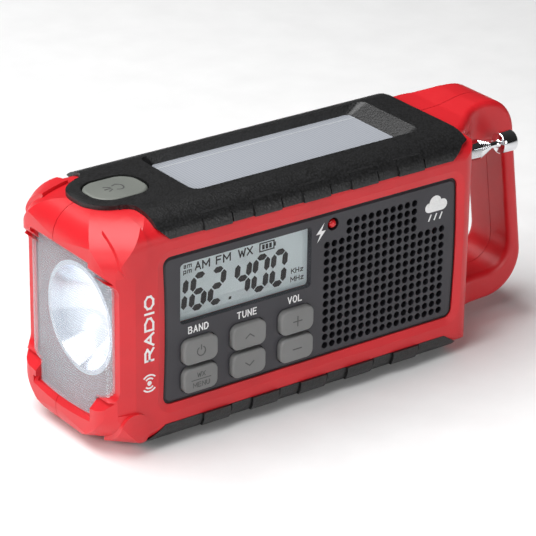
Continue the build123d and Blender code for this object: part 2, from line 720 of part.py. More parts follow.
def make_idler_gear():
    """Compound gear: a small pinion driven by the crank gear, and a wheel that drives the dynamo."""
    pinion = slab_y(
        Pos(*IDLER) * gear_face(TEETH_PINION, IDLER_ANGLE + 180 + 180 / TEETH_PINION), 5.0, 9.8)
    wheel = slab_y(Pos(*IDLER) * gear_face(TEETH_IDLER, DYNAMO_ANGLE), 2.4, 5.0)
    return pinion + wheel - rod_y(*IDLER, 1.0 + RUN, 2, 10)


def make_dynamo_pinion():
    gear = slab_y(
        Pos(*DYNAMO) * gear_face(TEETH_DYNAMO, DYNAMO_ANGLE + 180 + 180 / TEETH_DYNAMO), 2.2, 5.2)
    return gear + rod_y(*DYNAMO, 0.75, -9.0, 6.2)


def make_dynamo():
    can = rod_y(*DYNAMO, 9.8, -11.2, -0.6) + rod_y(*DYNAMO, 3.0, -0.6, 0.8)
    ears = box((DYNAMO[0] - 2.5, DYNAMO[0] + 2.5), (-12.0, -11.2), (DYNAMO[1] - 6, DYNAMO[1] - 4))
    return can + rod_y(*DYNAMO, 9.0, -0.6, 0.0) + ears - rod_y(*DYNAMO, 0.75 + RUN, -9.4, 2)


POST_ANGLES = (35.0, 120.0, 270.0, 325.0)
POST_RING = 23.5


def make_gearbox_plate():
    plate = rod_y(*CRANK, 26.5, *PLATE_Y)
    plate -= rod_y(*CRANK, 1.5, -1, 3) + rod_y(*DYNAMO, 3.0, -1, 3) + rod_y(*IDLER, 1.0, -1, 3)
    for angle in POST_ANGLES:
        plate -= rod_y(*polar(CRANK, POST_RING, angle), 1.2, -1, 3)
    return plate


def make_crank_cup():
    """Round recess of the crank with posts for the gearbox plate behind it."""
    cup = revolved_y(
        [(0, CUP_BASE), (CUP_R + CUP_WALL, CUP_BASE), (CUP_R + CUP_WALL, BODY_HALF - 1.3),
         (CUP_R + CUP_WALL + CUP_FLANGE, BODY_HALF - 1.3), (CUP_R + CUP_WALL + CUP_FLANGE, BODY_HALF),
         (CUP_R, BODY_HALF), (CUP_R, CUP_FLOOR), (0, CUP_FLOOR)], *CRANK)
    for angle in POST_ANGLES:
        spot = polar(CRANK, POST_RING, angle)
        cup += rod_y(*spot, 2.2, PLATE_Y[1], CUP_BASE)
        cup -= rod_y(*spot, 0.9, PLATE_Y[1], 8)
    cup -= rod_y(*CRANK, SHAFT_R + RUN, 10, 13)
    return cup - rod_y(*IDLER, 1.0, 10, 11.8)


def make_idler_axle():
    return rod_y(*IDLER, 1.0, PLATE_Y[0], 11.8)


def make_crank_shaft():
    return rod_y(*CRANK, SHAFT_R, 1.9, 15.0) + rod_y(*CRANK, 1.5 - RUN, -0.8, 1.9)


def make_gearbox_screws():
    screws = []
    for angle in POST_ANGLES:
        spot = polar(CRANK, POST_RING, angle)
        head = rod_y(*spot, 2.0, -1.4, 0.0) - slab_y(Pos(*spot) * Rectangle(0.6, 2.4), -1.5, -0.9)
        screws.append(head + rod_y(*spot, 0.85, 0.0, 7.0))
    return Compound(children=screws)


# ---- crank ----

def make_crank_arm():
    """Arm with a slot along it that the folded knob lies in."""
    outline = make_hull((Circle(9.0) + Pos(KNOB_HINGE, 0) * Circle(7.5)).edges())
    arm = slab_y(Pos(*CRANK) * outline, *ARM_Y)
    rim = arm.faces().sort_by(Axis.Y)[-1].edges()
    arm = fillet(rim, 0.8)
    slot_x = (CRANK_X - 3.6, CRANK_X + KNOB_HINGE + GRIP_R + 0.4)
    slot_z = (CRANK_Z - GRIP_R - 0.5, CRANK_Z + GRIP_R + 0.5)
    arm -= box(slot_x, (KNOB_Y - GRIP_R - 0.4, 30), slot_z)
    arm -= rod_y(CRANK_X + 1.0, CRANK_Z, 6.4, KNOB_Y - 0.6, 30)
    arm -= rod_z(CRANK_X + KNOB_HINGE, KNOB_Y, 0.9, CRANK_Z - 6.5, CRANK_Z + 6.5)
    return arm - rod_y(*CRANK, SHAFT_R, 12, 15.0)


def make_crank_hinge_pin():
    return rod_z(CRANK_X + KNOB_HINGE, KNOB_Y, 0.9, CRANK_Z - 6.5, CRANK_Z + 6.5)


def make_knob_spindle():
    """Hinged block with the pin that the knob turns on."""
    hinge_x = CRANK_X + KNOB_HINGE
    block = rod_z(hinge_x, KNOB_Y, GRIP_R - 0.2, CRANK_Z - 3.3, CRANK_Z + 3.3)
    pin = rod_x(KNOB_Y, CRANK_Z, 1.3, hinge_x - 18.6, hinge_x)
    head = rod_x(KNOB_Y, CRANK_Z, 2.2, hinge_x - 19.4, hinge_x - 18.6)
    return block + pin + head - rod_z(hinge_x, KNOB_Y, 0.9 + RUN, CRANK_Z - 5, CRANK_Z + 5)


def make_crank_knob():
    """Grip sleeve with shallow flutes and a counterbore for the pin's head."""
    hinge_x = CRANK_X + KNOB_HINGE
    left, right = hinge_x - 19.8, hinge_x - 3.6
    sleeve = rod_x(KNOB_Y, CRANK_Z, GRIP_R, left, right)
    sleeve = fillet(sleeve.edges().filter_by(GeomType.CIRCLE), 0.6)
    for index in range(10):
        y, z = polar((KNOB_Y, CRANK_Z), GRIP_R + 0.35, 36 * index)
        sleeve -= rod_x(y, z, 0.6, left + 1.6, right - 1.6)
    sleeve -= rod_x(KNOB_Y, CRANK_Z, 1.3 + RUN, left - 1, right + 1)
    return sleeve - rod_x(KNOB_Y, CRANK_Z, 2.4, left - 1, hinge_x - 18.5)


# ---- battery ----

def make_battery_cell():
    low, high = CELL_Z - CELL_LEN / 2, CELL_Z + CELL_LEN / 2
    can = rod_z(CELL_X, CELL_Y, CELL_R, low, high - 1.0)
    can = fillet(can.edges().filter_by(GeomType.CIRCLE), 0.6)
    return can + rod_z(CELL_X, CELL_Y, 3.2, high - 1.2, high)


def make_battery_box():
    """Tray of the battery compartment, open to the back."""
    x0, x1 = CELL_X - CELL_R - 1.7, CELL_X + CELL_R + 1.7
    y0 = CELL_Y - CELL_R - 1.7
    z0, z1 = CELL_Z - CELL_LEN / 2 - 3.0, CELL_Z + CELL_LEN / 2 + 3.0
    tray = box((x0, x1), (y0, 21.6), (z0, z1))
    tray &= envelope(CAVITY_BACK - 0.1, CAVITY_BOTTOM + 0.1, CAVITY_TOP - 0.1, WALL)
    return tray - box((x0 + 1.4, x1 - 1.4), (y0 + 1.4, 30), (z0 + 1.2, z1 - 1.2))


def make_battery_contacts():
    """Sprung strips at both ends of the cell."""
    low, high = CELL_Z - CELL_LEN / 2, CELL_Z + CELL_LEN / 2
    strips = []
    for near, far in ((low - 1.8, low), (high + 1.8, high)):
        bent = Polyline((CELL_Y - 5, near), (CELL_Y + 4, near), (CELL_Y, far), (CELL_Y - 3, far))
        bent += Line((CELL_Y - 3, far), (CELL_Y - 3, far + (near - far) * 0.2))
        bent += Polyline(
            (CELL_Y - 3, far + (near - far) * 0.2), (CELL_Y - 0.3, far + (near - far) * 0.2),
            (CELL_Y + 2.4, far + (near - far) * 0.8), (CELL_Y - 5, far + (near - far) * 0.8))
        bent += Line((CELL_Y - 5, far + (near - far) * 0.8), (CELL_Y - 5, near))
        strips.append(slab_x(make_face(bent), CELL_X - 3, CELL_X + 3))
    return Compound(children=strips)


def make_battery_door():
    """Door that tips out about its bottom edge, with a thumb notch at the top."""
    door = slab_y(rounded(DOOR_X, DOOR_Z, 1.2), BODY_HALF - DOOR_THICK + 0.02, BODY_HALF)
    middle = sum(DOOR_X) / 2
    for index in range(4):
        z = DOOR_Z[1] - 4.0 - 1.6 * index
        door -= box((middle - 5, middle + 5), (BODY_HALF - 0.6, 30), (z - 0.4, z + 0.4))
    return door


# ---- sockets ----

def make_port_cover():
    flap = slab_y(rounded(FLAP_X, FLAP_Z, 1.2), BODY_HALF - FLAP_THICK + 0.02, BODY_HALF)
    grip = box((FLAP_X[0] + 3, FLAP_X[1] - 3), (BODY_HALF - 0.2, BODY_HALF + 0.9),
               (FLAP_Z[1] - 2.2, FLAP_Z[1] - 1.0))
    return flap + grip


def make_port_board():
    return box((FLAP_X[0] - 0.6, FLAP_X[1] + 0.6), (PORT_BOARD_Y, PORT_BOARD_Y + 1.6),
               (FLAP_Z[0] - 1, FLAP_Z[1] + 1))


PORT_X = sum(FLAP_X) / 2
PORT_BACK = PORT_BOARD_Y + 1.6
PORT_FACE = 21.6


def make_usb_socket():
    """Type A socket standing upright, with its tongue."""
    shell = box((PORT_X - 3.4, PORT_X + 3.4), (PORT_BACK, PORT_FACE), (36.0, 49.2))
    shell -= box((PORT_X - 2.75, PORT_X + 2.75), (PORT_BACK + 1, 30), (36.5, 48.7))
    return shell + box((PORT_X - 2.0, PORT_X - 0.2), (PORT_BACK, PORT_FACE - 0.6), (37.0, 48.2))


def make_charging_socket():
    """Micro socket for charging, with its tongue."""
    shell = box((PORT_X - 1.9, PORT_X + 1.9), (PORT_BACK, PORT_FACE), (26.0, 33.8))
    shell -= box((PORT_X - 1.5, PORT_X + 1.5), (PORT_BACK + 1, 30), (26.4, 33.4))
    return shell + box((PORT_X - 0.4, PORT_X + 0.3), (PORT_BACK, PORT_FACE - 0.8), (27.6, 32.2))


def make_headphone_socket():
    barrel = rod_y(PORT_X, 21.0, 3.2, PORT_BACK, PORT_FACE)
    return barrel - rod_y(PORT_X, 21.0, 1.75, PORT_BACK + 1, 30)


# ---- screws ----

def make_case_screws():
    """Pan-head screws that close the casing, driven from the back."""
    screws = []
    for x, z in SCREW_SPOTS:
        seat = (LOOP_BACK - 2.4) if x > BODY_RIGHT else (BODY_HALF - 3.0)
        head = rod_y(x, z, HEAD_R, seat, seat + 1.5)
        cross = Pos(x, z) * (Rectangle(0.5, 3.0) + Rectangle(3.0, 0.5))
        head -= slab_y(cross, seat + 0.8, seat + 2)
        screws.append(head + rod_y(x, z, SCREW_R, SEAM - 5, seat))
    return Compound(children=screws)


def main():
    os.makedirs("parts", exist_ok=True)
    cover_blank = (skin_form() - skin_form(SKIN)) & cover_zone()
    bumper_blank = (skin_form() - skin_form(SKIN)) & bumper_zone()
    form = casing(cover_blank, bumper_blank)
    nodes = {
        "front_shell": make_front_shell(form),
        "rear_shell": make_rear_shell(form),
        "top_cover": make_top_cover(),
        "bottom_bumper": make_bottom_bumper(),
        "rubber_feet": rubber_feet(),
        "front_panel": make_front_panel(),
        "panel_seal": make_panel_seal(),
        "grille_cloth": make_grille_cloth(),
        "lcd_window": make_lcd_window(),
        "lcd_module": make_lcd_module(),
        "key_switches": make_key_switches(),
        "main_board": make_main_board(),
        "charge_led": make_charge_led(),
        "speaker_frame": make_speaker_frame(),
        "speaker_cone": make_speaker_cone(),
        "speaker_magnet": make_speaker_magnet(),
        "torch_lens": make_torch_lens(),
        "torch_reflector": make_torch_reflector(),
        "torch_led": make_torch_led(),
        "torch_led_board": make_torch_board(),
        "torch_button": make_torch_button(),
        "torch_switch": make_torch_switch(),
        "solar_panel": make_solar_panel(),
        "aerial_clips": make_aerial_guide(),
        "aerial_tube": aerial_tube(0),
        "aerial_tip": make_aerial_tip(),
        "crank_cup": make_crank_cup(),
        "crank_arm": make_crank_arm(),
        "crank_shaft": make_crank_shaft(),
        "crank_hinge_pin": make_crank_hinge_pin(),
        "knob_spindle": make_knob_spindle(),
        "crank_knob": make_crank_knob(),
        "crank_gear": make_crank_gear(),
        "idler_gear": make_idler_gear(),
        "idler_axle": make_idler_axle(),
        "gearbox_plate": make_gearbox_plate(),
        "gearbox_screws": make_gearbox_screws(),
        "dynamo": make_dynamo(),
        "dynamo_pinion": make_dynamo_pinion(),
        "battery_cell": make_battery_cell(),
        "battery_box": make_battery_box(),
        "battery_contacts": make_battery_contacts(),
        "battery_door": make_battery_door(),
        "port_cover": make_port_cover(),
        "port_board": make_port_board(),
        "usb_socket": make_usb_socket(),
        "charging_socket": make_charging_socket(),
        "headphone_socket": make_headphone_socket(),
        "case_screws": make_case_screws(),
    }
    for index in range(1, len(AERIAL_RADII)):
        nodes[f"aerial_stage_{index}"] = aerial_tube(index)
    names = (("power_button", "menu_button"), ("tune_up_button", "tune_down_button"),
             ("volume_up_button", "volume_down_button"))
    for x, pair in zip(KEY_X, names):
        for z, name in zip(KEY_Z, pair):
            nodes[name] = make_key(x, z)
    for name, shape in nodes.items():
        export_step(shape, f"parts/{name}.step")


if __name__ == "__main__":
    main()
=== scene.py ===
import math
import bpy
from mathutils import Matrix, Vector


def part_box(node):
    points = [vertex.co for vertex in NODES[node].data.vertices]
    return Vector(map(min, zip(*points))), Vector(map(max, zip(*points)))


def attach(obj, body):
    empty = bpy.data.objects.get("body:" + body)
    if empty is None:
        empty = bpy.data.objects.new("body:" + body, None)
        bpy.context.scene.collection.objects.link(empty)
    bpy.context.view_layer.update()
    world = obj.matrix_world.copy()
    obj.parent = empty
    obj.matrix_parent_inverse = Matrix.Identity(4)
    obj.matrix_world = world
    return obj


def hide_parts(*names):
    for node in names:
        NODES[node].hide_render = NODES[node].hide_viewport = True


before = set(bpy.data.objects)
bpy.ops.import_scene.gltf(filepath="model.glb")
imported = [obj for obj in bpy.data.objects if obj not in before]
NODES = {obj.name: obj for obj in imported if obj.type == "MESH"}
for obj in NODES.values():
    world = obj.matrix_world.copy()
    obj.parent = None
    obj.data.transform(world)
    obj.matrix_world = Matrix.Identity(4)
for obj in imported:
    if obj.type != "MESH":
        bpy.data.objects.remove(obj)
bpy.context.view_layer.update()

# Emergency radio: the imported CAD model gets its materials, and the printed, ribbed and
# patterned details that go on it. Metres; +X to the carrying loop, +Y to the back, +Z up.

MM = 0.001


def point(x, y, z):
    """A place given in millimetres."""
    return Vector((x, y, z)) * MM


def limits(node):
    """Lowest and highest corner of a CAD node, in millimetres."""
    low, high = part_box(node)
    return low / MM, high / MM


# ---------------------------------------------------------------- materials

class Paint:
    """A procedural material: a principled shader and short calls that add nodes to it."""

    def __init__(self, name, color, roughness, metallic=0.0, **constants):
        self.material = bpy.data.materials.new(name)
        self.material.use_nodes = True
        self.tree = self.material.node_tree
        self.shader = self.tree.nodes["Principled BSDF"]
        self.set(**{"Base Color": (*color, 1.0), "Roughness": roughness, "Metallic": metallic})
        self.set(**constants)
        self.coords = self.node("ShaderNodeTexCoord").outputs["Object"]

    def set(self, **constants):
        for socket, value in constants.items():
            self.shader.inputs[socket.replace("_", " ")].default_value = value

    def node(self, kind, **values):
        made = self.tree.nodes.new(kind)
        for socket, value in values.items():
            made.inputs[socket.replace("_", " ")].default_value = value
        return made

    def link(self, output, target):
        self.tree.links.new(output, target)

    def noise(self, scale, detail=3.0, roughness=0.5):
        made = self.node("ShaderNodeTexNoise", Scale=scale, Detail=detail, Roughness=roughness)
        self.link(self.coords, made.inputs["Vector"])
        return made.outputs["Fac"]

    def cells(self, scale, feature="F1"):
        made = self.node("ShaderNodeTexVoronoi", Scale=scale)
        made.feature = feature
        self.link(self.coords, made.inputs["Vector"])
        return made.outputs["Distance"]

    def ramp(self, value, stops):
        made = self.node("ShaderNodeValToRGB")
        elements = made.color_ramp.elements
        while len(elements) < len(stops):
            elements.new(0.5)
        for element, (place, color) in zip(elements, stops):
            element.position = place
            element.color = (*color, 1.0)
        self.link(value, made.inputs["Fac"])
        return made.outputs["Color"]

    def span(self, value, low, high):
        """Map 0..1 to low..high."""
        made = self.node("ShaderNodeMapRange", To_Min=low, To_Max=high)
        self.link(value, made.inputs["Value"])
        return made.outputs["Result"]

    def color(self, value, dark, light, start=0.3, end=0.7):
        self.link(self.ramp(value, [(start, dark), (end, light)]), self.shader.inputs["Base Color"])

    def rough(self, value, low, high):
        self.link(self.span(value, low, high), self.shader.inputs["Roughness"])

    def bumps(self, *layers):
        """Stack bumps, each given as (value, height in millimetres)."""
        normal = None
        for value, height in layers:
            made = self.node("ShaderNodeBump", Strength=1.0, Distance=height * MM)
            self.link(value, made.inputs["Height"])
            if normal:
                self.link(normal, made.inputs["Normal"])
            normal = made.outputs["Normal"]
        self.link(normal, self.shader.inputs["Normal"])


def moulded(name, dark, light, rough, grain=900.0, height=0.012, **constants):
    """Moulded plastic: faint mottling, fine grain and uneven gloss."""
    paint = Paint(name, light, rough[0], **constants)
    mottle = paint.noise(60.0, 4.0)
    paint.color(mottle, dark, light)
    paint.rough(paint.noise(220.0, 5.0), *rough)
    paint.bumps((paint.noise(grain, 2.0), height), (paint.noise(35.0, 2.0), 0.02))
    return paint.material


def stippled(name, dark, light, rough, pitch=1500.0, height=0.05):
    """Spark-eroded finish of the black mouldings: close round grains."""
    paint = Paint(name, light, rough[0], Specular_IOR_Level=0.55)
    grains = paint.cells(pitch)
    paint.color(grains, light, dark, 0.1, 0.75)
    paint.rough(paint.noise(400.0, 4.0), *rough)
    paint.bumps((grains, height), (paint.noise(2400.0, 2.0), height * 0.6))
    return paint.material


def plated(name, color, rough, brushed=0.004):
    """Plated or polished metal with faint drawing marks."""
    paint = Paint(name, color, rough[0], 1.0)
    paint.rough(paint.noise(500.0, 6.0), *rough)
    paint.color(paint.noise(90.0, 3.0), tuple(c * 0.93 for c in color), color)
    paint.bumps((paint.noise(1800.0, 3.0), brushed))
    return paint.material


def clear(name, color, alpha, rough):
    """Clear moulded plastic that shows what lies behind it."""
    paint = Paint(name, color, rough[0], Alpha=alpha, IOR=1.49, Specular_IOR_Level=0.6)
    paint.rough(paint.noise(300.0, 3.0), *rough)
    paint.color(paint.noise(80.0, 3.0), tuple(c * 0.96 for c in color), color)
    paint.bumps((paint.noise(700.0, 2.0), 0.006))
    return paint.material


def glowing(name, color, strength):
    """Surface that gives light, uneven like a phosphor."""
    paint = Paint(name, color, 0.4, Emission_Strength=strength)
    paint.color(paint.noise(900.0, 3.0), tuple(c * 0.9 for c in color), color)
    paint.set(Emission_Color=(*color, 1.0))
    return paint.material


def bowl_painted_glow(name):
    """Metallised bowl with a painted glow: emission, white round the lamp and fading to the rim, stands in for the
    lamp's light in the bowl.
    """
    paint = Paint(name, (0.80, 0.84, 0.90), 0.2, 1.0)
    paint.rough(paint.noise(500.0, 4.0), 0.12, 0.22)
    low, high = limits("torch_led")
    lamp = paint.node("ShaderNodeVectorMath")
    lamp.operation = "DISTANCE"
    lamp.inputs[1].default_value = (low + high) / 2 * MM
    paint.link(paint.coords, lamp.inputs[0])
    reach = paint.node("ShaderNodeMapRange", From_Min=0.004, From_Max=0.0185)
    paint.link(lamp.outputs["Value"], reach.inputs["Value"])
    # Painted glow: the bowl is no lamp, but its emission colour runs from white at the LED to dark at the rim to copy
    # the lamp's light in it.
    painted_glow = paint.ramp(reach.outputs["Result"], [(0.0, (1.0, 1.0, 1.0)), (0.45, (0.8, 0.87, 0.95)), (0.8, (0.10, 0.13, 0.17))])
    paint.link(painted_glow, paint.shader.inputs["Emission Color"])
    paint.set(Emission_Strength=0.9)
    return paint.material


def printed(name, color, rough=0.5):
    """Printing ink, a little uneven."""
    paint = Paint(name, color, rough)
    paint.color(paint.noise(1500.0, 4.0), tuple(c * 0.9 for c in color), color)
    paint.rough(paint.noise(900.0, 3.0), rough, rough + 0.1)
    paint.bumps((paint.noise(2500.0, 2.0), 0.004))
    return paint.material


def circuit(name):
    """Green solder mask with a hint of tracks."""
    paint = Paint(name, (0.01, 0.12, 0.04), 0.35, Specular_IOR_Level=0.6)
    tracks = paint.cells(420.0, "DISTANCE_TO_EDGE")
    paint.color(tracks, (0.03, 0.22, 0.07), (0.008, 0.10, 0.035), 0.02, 0.10)
    paint.bumps((tracks, 0.02))
    return paint.material


def solar(name):
    """Amorphous solar glass: pale, with fine lines across it and a soft cloudiness."""
    paint = Paint(name, (0.36, 0.38, 0.42), 0.22, Specular_IOR_Level=0.6, Coat_Weight=0.4, Coat_Roughness=0.08)
    lines = paint.node("ShaderNodeTexWave", Scale=330.0, Distortion=0.0)
    lines.bands_direction = "X"
    paint.link(paint.coords, lines.inputs["Vector"])
    paint.color(lines.outputs["Fac"], (0.30, 0.32, 0.36), (0.40, 0.42, 0.46), 0.0, 0.25)
    paint.rough(paint.noise(150.0, 4.0), 0.18, 0.3)
    paint.bumps((paint.noise(900.0, 2.0), 0.004))
    return paint.material


RED = moulded("red_plastic", (0.57, 0.010, 0.016), (0.64, 0.013, 0.020), (0.34, 0.44), Specular_IOR_Level=0.5)
SKIN = stippled("stippled_black", (0.004, 0.004, 0.004), (0.016, 0.016, 0.017), (0.34, 0.46))
PANEL = moulded("charcoal_panel", (0.026, 0.025, 0.031), (0.034, 0.033, 0.040), (0.42, 0.52))
KEY = moulded("grey_rubber", (0.165, 0.167, 0.165), (0.195, 0.197, 0.195), (0.55, 0.66), 1400.0, 0.02)
TORCH_KEY = moulded("torch_key_rubber", (0.14, 0.15, 0.135), (0.165, 0.175, 0.157), (0.5, 0.62), 1400.0, 0.02)
BLACK = moulded("matt_black", (0.006, 0.006, 0.007), (0.014, 0.014, 0.015), (0.5, 0.62))
WHITE_PLASTIC = moulded("acetal", (0.66, 0.66, 0.60), (0.76, 0.76, 0.70), (0.35, 0.45))
CLOTH = stippled("grille_cloth", (0.001, 0.001, 0.001), (0.004, 0.004, 0.004), (0.8, 0.95), 2600.0, 0.1)
# Seal round the front panel: a real rubber part, given a near-black colour, darker than the other black rubber, as
# painted shade for the gap round the panel.
SEAL_PAINTED_GAP_SHADE = moulded("seal_rubber_painted_gap_shade", (0.002, 0.002, 0.002), (0.005, 0.005, 0.005), (0.5, 0.6))
LENS = clear("ribbed_lens", (0.62, 0.65, 0.69), 0.34, (0.04, 0.08))
WINDOW = clear("display_window", (0.10, 0.10, 0.11), 0.03, (0.03, 0.06))
REFLECTOR_PAINTED_GLOW = bowl_painted_glow("metallised_bowl_painted_glow")
LED = glowing("torch_led", (1.0, 1.0, 0.98), 3.0)
LCD = moulded("display_glass", (0.76, 0.85, 0.87), (0.80, 0.89, 0.91), (0.35, 0.42))
SOLAR = solar("solar_glass")
CHROME = plated("chrome", (0.80, 0.81, 0.83), (0.05, 0.10), 0.001)
STEEL = plated("steel", (0.48, 0.48, 0.49), (0.25, 0.38), 0.01)
BOARD = circuit("circuit_board")
RED_LAMP = moulded("red_lamp", (0.50, 0.008, 0.012), (0.66, 0.016, 0.020), (0.12, 0.18))
CELL_WRAP = moulded("cell_sleeve", (0.01, 0.05, 0.26), (0.02, 0.07, 0.34), (0.28, 0.36))
INK_WHITE = printed("white_ink", (0.84, 0.84, 0.84))
INK_BLACK = printed("black_ink", (0.012, 0.010, 0.011))
INK_GREY = printed("grey_ink", (0.075, 0.076, 0.075))
FLOOR = moulded("studio_floor", (0.86, 0.86, 0.86), (0.90, 0.90, 0.90), (0.6, 0.7), 90.0, 0.0)

KEYS = [node for node in NODES if node.endswith("_button") and node != "torch_button"]
FINISHES = [
    (RED, "red_plastic", ["front_shell", "rear_shell"]),
    (SKIN, "black_rubber", ["top_cover", "bottom_bumper", "port_cover", "rubber_feet"]),
    (SEAL_PAINTED_GAP_SHADE, "black_rubber", ["panel_seal"]),
    (CLOTH, "black_rubber", ["grille_cloth"]),
    (PANEL, "panel_plastic", ["front_panel"]),
    (BLACK, "panel_plastic", ["battery_door"]),
    (KEY, "key_rubber", KEYS),
    (TORCH_KEY, "key_rubber", ["torch_button"]),
    (WINDOW, "clear_plastic", ["lcd_window"]),
    (LENS, "clear_plastic", ["torch_lens"]),
    (LCD, "display", ["lcd_module"]),
    (RED_LAMP, "red_lamp", ["charge_led"]),
    (BOARD, "circuit_board", ["main_board", "torch_led_board", "port_board"]),
    (BLACK, "black_plastic", ["crank_cup", "crank_arm", "crank_knob", "battery_box", "aerial_clips",
                              "key_switches", "torch_switch", "headphone_socket"]),
    (WHITE_PLASTIC, "white_plastic", ["crank_gear", "idler_gear", "dynamo_pinion", "gearbox_plate"]),
    (REFLECTOR_PAINTED_GLOW, "mirror_finish", ["torch_reflector"]),
    (LED, "lamp", ["torch_led"]),
    (SOLAR, "solar_glass", ["solar_panel"]),
    (CHROME, "chrome", ["aerial_tube", "aerial_stage_1", "aerial_stage_2", "aerial_stage_3",
                        "aerial_stage_4", "aerial_tip"]),
    (STEEL, "steel", ["crank_shaft", "crank_hinge_pin", "knob_spindle", "idler_axle", "gearbox_screws",
                      "case_screws", "dynamo", "speaker_frame", "speaker_magnet", "usb_socket",
                      "charging_socket", "battery_contacts"]),
    (CLOTH, "paper_cone", ["speaker_cone"]),
    (CELL_WRAP, "cell_wrap", ["battery_cell"]),
]
for material, _, members in FINISHES:
    for node in members:
        slots = NODES[node].data.materials
        slots.clear()
        slots.append(material)


# ---------------------------------------------------------------- building pieces

def piece(name, vertices, faces, material, body, smooth=False):
    """A mesh piece from points in millimetres, riding on a body."""
    mesh = bpy.data.meshes.new(name)
    mesh.from_pydata([Vector(v) * MM for v in vertices], [], faces)
    mesh.validate()
    mesh.materials.append(material)
    if smooth:
        mesh.shade_smooth()
    made = bpy.data.objects.new(name, mesh)
    bpy.context.scene.collection.objects.link(made)
    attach(made, body)
    return made


INK_STEP = 0.02


class Surface:
    """A flat place on the object to print on: origin and axes to the right and up."""

    def __init__(self, origin, right, up):
        self.origin = Vector(origin)
        self.right = Vector(right)
        self.up = Vector(up)
        self.out = self.right.cross(self.up)

    def at(self, u, v, lift=0.0):
        return self.origin + self.right * u + self.up * v + self.out * lift


def shapes(name, surface, outlines, thickness, material, body, sink=0.05):
    """Thin solid shapes raised off a surface, one for each outline of (u, v) points."""
    vertices = []
    faces = []
    for index, outline in enumerate(outlines):
        first = len(vertices)
        count = len(outline)
        top = thickness + INK_STEP * (index % 4)     # crossing strokes keep apart
        vertices += [surface.at(u, v, -sink) for u, v in outline]
        vertices += [surface.at(u, v, top) for u, v in outline]
        faces.append([first + i for i in reversed(range(count))])
        faces.append([first + count + i for i in range(count)])
        for i in range(count):
            j = (i + 1) % count
            faces.append([first + i, first + j, first + count + j, first + count + i])
    return piece(name, vertices, faces, material, body)


GLYPHS = {
    "A": [[(0, 0), (0.5, 1), (1, 0)], [(0.2, 0.33), (0.8, 0.33)]],
    "B": [[(0, 0), (0, 1), (0.7, 1), (0.9, 0.77), (0.7, 0.53), (0, 0.53)], [(0.7, 0.53), (1, 0.27), (0.75, 0), (0, 0)]],
    "D": [[(0, 0), (0, 1), (0.6, 1), (1, 0.7), (1, 0.3), (0.6, 0), (0, 0)]],
    "E": [[(0.9, 1), (0, 1), (0, 0), (0.9, 0)], [(0, 0.52), (0.75, 0.52)]],
    "F": [[(0.9, 1), (0, 1), (0, 0)], [(0, 0.52), (0.75, 0.52)]],
    "H": [[(0, 0), (0, 1)], [(1, 0), (1, 1)], [(0, 0.5), (1, 0.5)]],
    "I": [[(0.5, 0), (0.5, 1)]],
    "K": [[(0, 0), (0, 1)], [(1, 1), (0, 0.4)], [(0.3, 0.6), (1, 0)]],
    "L": [[(0, 1), (0, 0), (0.9, 0)]],
    "M": [[(0, 0), (0, 1), (0.5, 0.3), (1, 1), (1, 0)]],
    "N": [[(0, 0), (0, 1), (1, 0), (1, 1)]],
    "O": [[(0.3, 0), (0, 0.3), (0, 0.7), (0.3, 1), (0.7, 1), (1, 0.7), (1, 0.3), (0.7, 0), (0.3, 0)]],
    "R": [[(0, 0), (0, 1), (0.7, 1), (1, 0.75), (0.7, 0.48), (0, 0.48)], [(0.5, 0.48), (1, 0)]],
    "T": [[(0, 1), (1, 1)], [(0.5, 1), (0.5, 0)]],
    "U": [[(0, 1), (0, 0.3), (0.3, 0), (0.7, 0), (1, 0.3), (1, 1)]],
    "V": [[(0, 1), (0.5, 0), (1, 1)]],
    "W": [[(0, 1), (0.25, 0), (0.5, 0.75), (0.75, 0), (1, 1)]],
    "X": [[(0, 0), (1, 1)], [(0, 1), (1, 0)]],
    "a": [[(0.1, 0.7), (0.8, 0.7), (0.8, 0), (0.15, 0), (0.15, 0.4), (0.8, 0.4)]],
    "m": [[(0, 0), (0, 0.7), (1, 0.7), (1, 0)], [(0.5, 0.7), (0.5, 0)]],
    "p": [[(0, -0.3), (0, 0.7), (0.8, 0.7), (0.8, 0), (0, 0)]],
    "z": [[(0.1, 0.65), (0.9, 0.65), (0.1, 0), (0.9, 0)]],
}
WIDE_GLYPHS = "MWm"


def lettering(name, text, surface, u, v, height, width, weight, material, body):
    """Plain stroke letters centred on (u, v); width and weight are shares of the height."""
    steps = [(0.25 if c == "I" else 1.35 if c in WIDE_GLYPHS else 1.0) * width * height for c in text]
    gap = (weight + 0.17) * height
    cursor = u - (sum(steps) + gap * (len(text) - 1)) / 2
    outlines = []
    for c, step in zip(text, steps):
        for stroke in GLYPHS[c]:
            spots = [(cursor + (0.5 if c == "I" else x) * step, v + (y - 0.5) * height) for x, y in stroke]
            for a, b in zip(spots, spots[1:]):
                outlines.append(bar(a, b, weight * height, weight * height / 2))
        cursor += step + gap
    return shapes(name, surface, outlines, 0.04, material, body)


def bar(a, b, width, overrun=0.0):
    """Outline of a straight stroke from a to b, running over both ends."""
    (ax, ay), (bx, by) = a, b
    length = math.hypot(bx - ax, by - ay)
    dx, dy = (bx - ax) / length * overrun, (by - ay) / length * overrun
    ax, ay, bx, by = ax - dx, ay - dy, bx + dx, by + dy
    length += 2 * overrun
    nx, ny = (ay - by) / length * width / 2, (bx - ax) / length * width / 2
    return [(ax + nx, ay + ny), (ax - nx, ay - ny), (bx - nx, by - ny), (bx + nx, by + ny)]


